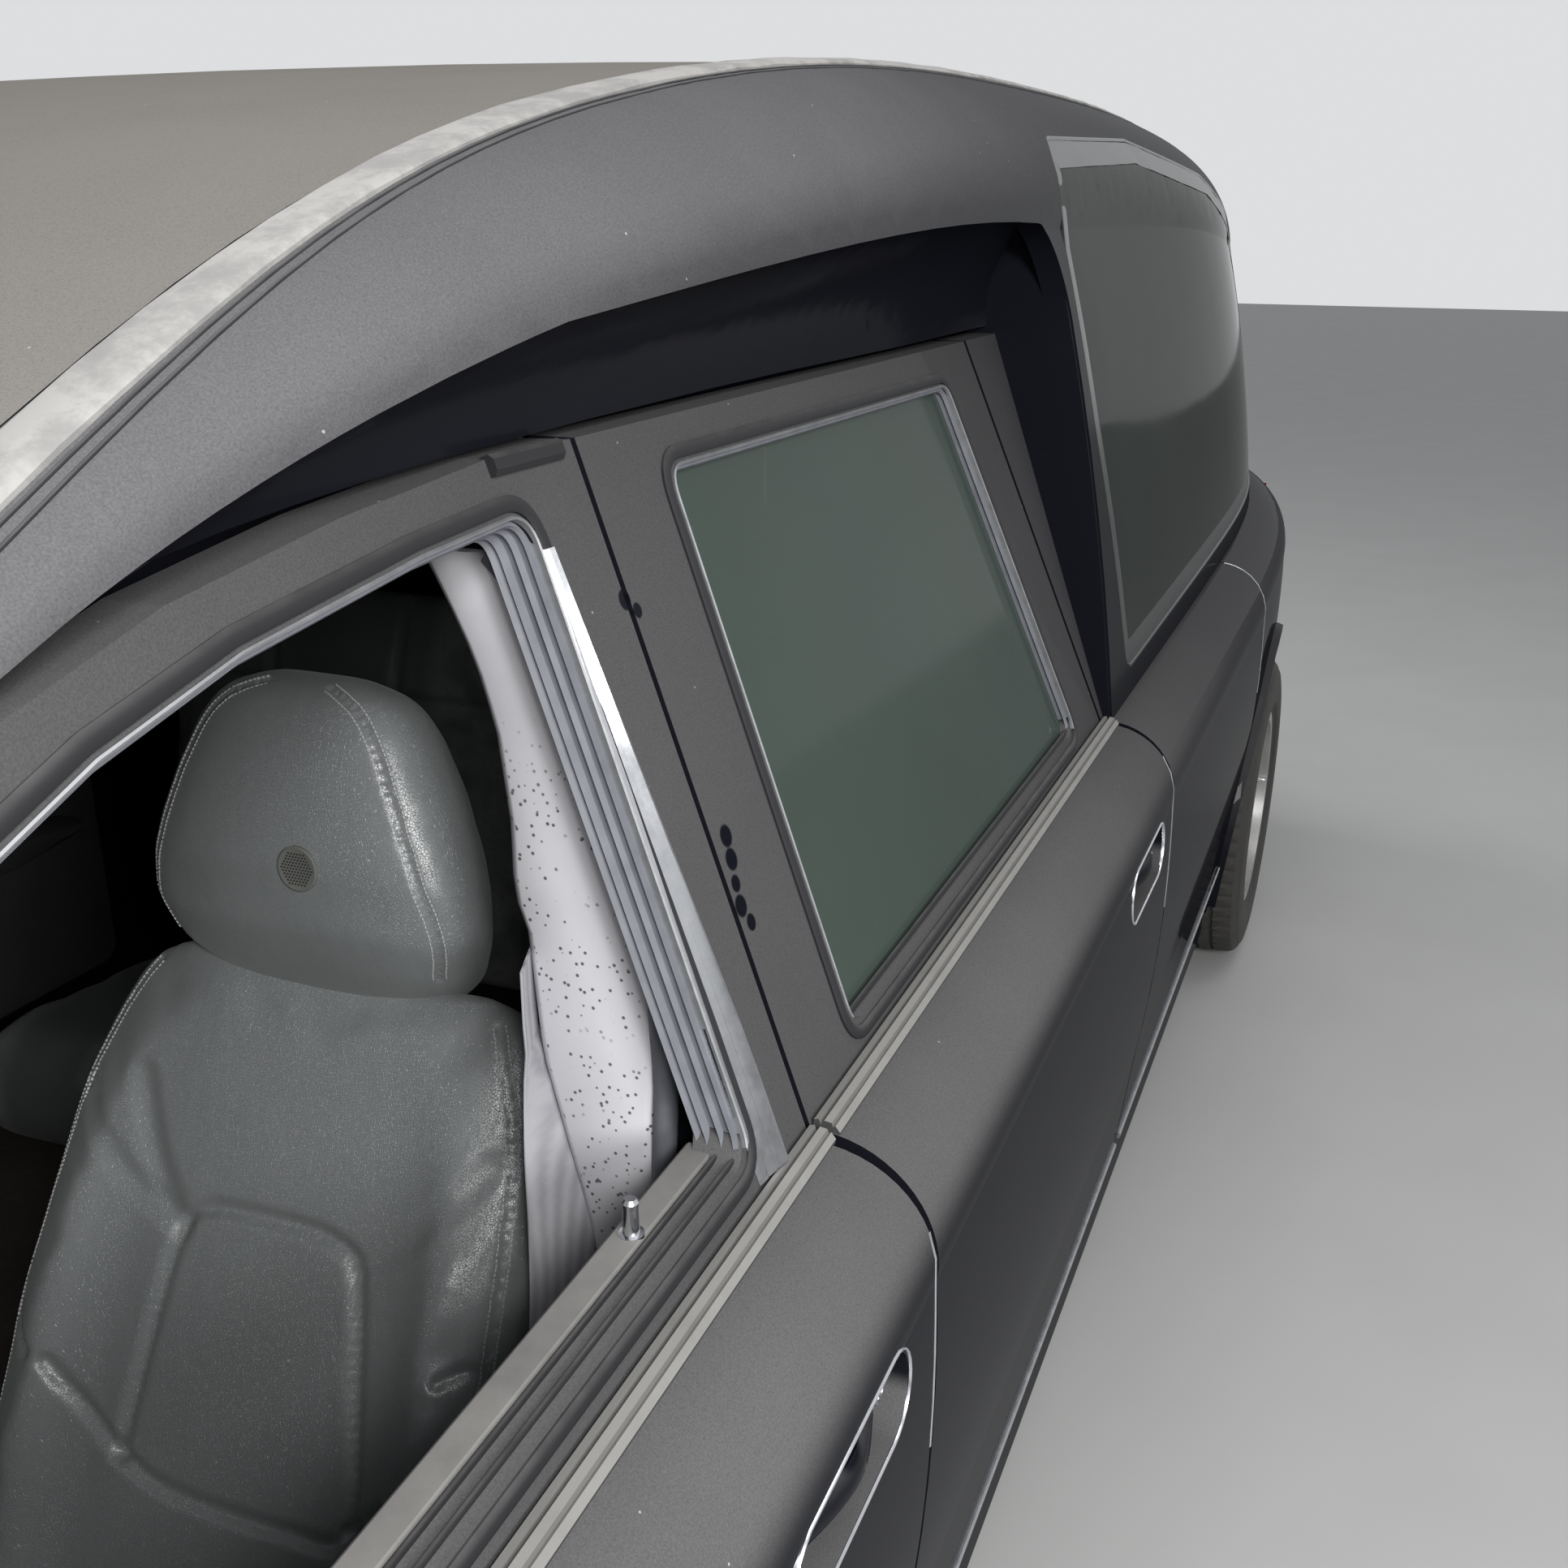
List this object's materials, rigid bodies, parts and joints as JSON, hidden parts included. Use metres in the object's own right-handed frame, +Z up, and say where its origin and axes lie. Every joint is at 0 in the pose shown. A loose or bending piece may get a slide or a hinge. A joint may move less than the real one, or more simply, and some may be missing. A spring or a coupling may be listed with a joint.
{
  "type": "stretched four-door hearse",
  "caption": "Long black funeral car with a raised roof shell, tall rear side windows, hinged doors, bonnet and tailgate, steered front wheels and a flat coffin deck.",
  "frame": {"origin": "on the floor under the middle of the car's overall box", "axes": "+X to the car's left, +Y to its rear, +Z up"},
  "size_m": [2.12, 5.8, 1.7042],
  "materials": {
    "black_paint": "glossy, dusty",
    "glass_clear": "clear safety glass",
    "glass_green": "tinted safety glass",
    "lamp_clear": "clear lamp lens",
    "lamp_red": "red lamp lens",
    "bright_metal": "polished",
    "wheel_alloy": "lacquered",
    "tyre_rubber": "dusty",
    "black_plastic": "grained",
    "black_leather": "worn, creased",
    "dark_trim": "woven",
    "deck_wood": "varnished",
    "dark_steel": "underseal",
    "cast_iron": "rough"
  },
  "bodies": {
    "root": {"body_frame": "black_paint", "dashboard": "black_plastic", "engine": "cast_iron", "exhaust": "dark_steel", "floor": "dark_steel", "front_bumper": "black_paint", "front_seat_backs": "black_leather", "front_seat_cushions": "black_leather", "front_suspension": "dark_steel", "front_wings": "black_paint", "fuel_tank": "black_plastic", "grille": "bright_metal", "headlamps": "lamp_clear", "headrests": "black_leather", "load_deck": "deck_wood", "partition": "dark_trim", "quarter_windows": "glass_green", "rear_axle": "dark_steel", "rear_bench_back": "dark_trim", "rear_bench_cushion": "dark_trim", "rear_bumper": "black_paint", "rear_wings": "black_paint", "roof_sides": "black_paint", "roof_top": "black_paint", "side_panels": "black_paint", "tail_lamps": "lamp_red", "wheelhouses": "dark_steel", "windscreen": "glass_clear"},
    "bonnet": {"bonnet": "black_paint"},
    "tailgate": {"tailgate": "black_paint", "tailgate_glass": "glass_green"},
    "door_front_left": {"door_front_left": "black_paint", "mirror_left": "black_plastic"},
    "door_front_right": {"door_front_right": "black_paint", "glass_front_right": "glass_green", "mirror_right": "black_plastic"},
    "door_rear_left": {"door_rear_left": "black_paint", "glass_rear_left": "glass_green"},
    "door_rear_right": {"door_rear_right": "black_paint", "glass_rear_right": "glass_green"},
    "steering_wheel": {"steering_wheel": "black_plastic"},
    "knuckle_left": {"knuckle_left": "cast_iron"},
    "knuckle_right": {"knuckle_right": "cast_iron"},
    "wheel_front_left": {"tyre_front_left": "tyre_rubber", "rim_front_left": "wheel_alloy"},
    "wheel_front_right": {"tyre_front_right": "tyre_rubber", "rim_front_right": "wheel_alloy"},
    "wheel_rear_left": {"tyre_rear_left": "tyre_rubber", "rim_rear_left": "wheel_alloy"},
    "wheel_rear_right": {"tyre_rear_right": "tyre_rubber", "rim_rear_right": "wheel_alloy"}
  },
  "joints": [
    {"name": "front_door_left", "type": "hinge", "parent": "root", "child": "door_front_left", "pos_m": [0.89, -1.54, 0.62], "axis": [0, 0, -1], "range_deg": [0, 70]},
    {"name": "rear_door_left", "type": "hinge", "parent": "root", "child": "door_rear_left", "pos_m": [0.89, -0.457, 0.62], "axis": [0, 0, -1], "range_deg": [0, 70]},
    {"name": "front_door_right", "type": "hinge", "parent": "root", "child": "door_front_right", "pos_m": [-0.89, -1.54, 0.62], "axis": [0, 0, 1], "range_deg": [0, 70]},
    {"name": "rear_door_right", "type": "hinge", "parent": "root", "child": "door_rear_right", "pos_m": [-0.89, -0.457, 0.62], "axis": [0, 0, 1], "range_deg": [0, 70]},
    {"name": "bonnet_hinge", "type": "hinge", "parent": "root", "child": "bonnet", "pos_m": [0, -1.668, 0.987], "axis": [-1, 0, 0], "range_deg": [0, 50]},
    {"name": "tailgate_hinge", "type": "hinge", "parent": "root", "child": "tailgate", "pos_m": [0, 2.647, 1.638], "axis": [1, 0, 0], "range_deg": [0, 85]},
    {"name": "steering_column", "type": "hinge", "parent": "root", "child": "steering_wheel", "pos_m": [0.372, -1.09, 0.88], "axis": [0, 0.9063, 0.4226], "range_deg": [-490, 490]},
    {"name": "steer_left", "type": "hinge", "parent": "root", "child": "knuckle_left", "pos_m": [0.752, -1.96, 0.325], "axis": [0, 0, 1], "range_deg": [-35, 35]},
    {"name": "steer_right", "type": "hinge", "parent": "root", "child": "knuckle_right", "pos_m": [-0.752, -1.96, 0.325], "axis": [0, 0, 1], "range_deg": [-35, 35]},
    {"name": "roll_front_left", "type": "hinge", "parent": "knuckle_left", "child": "wheel_front_left", "pos_m": [0.79, -1.96, 0.325], "axis": [1, 0, 0], "continuous": true},
    {"name": "roll_front_right", "type": "hinge", "parent": "knuckle_right", "child": "wheel_front_right", "pos_m": [-0.79, -1.96, 0.325], "axis": [1, 0, 0], "continuous": true},
    {"name": "roll_rear_left", "type": "hinge", "parent": "root", "child": "wheel_rear_left", "pos_m": [0.79, 1.99, 0.325], "axis": [1, 0, 0], "continuous": true},
    {"name": "roll_rear_right", "type": "hinge", "parent": "root", "child": "wheel_rear_right", "pos_m": [-0.79, 1.99, 0.325], "axis": [1, 0, 0], "continuous": true}
  ],
  "couplings": [
    {"joint": "steer_left", "follows": "steering_column", "ratio": 0.0714},
    {"joint": "steer_right", "follows": "steering_column", "ratio": 0.0714}
  ]
}
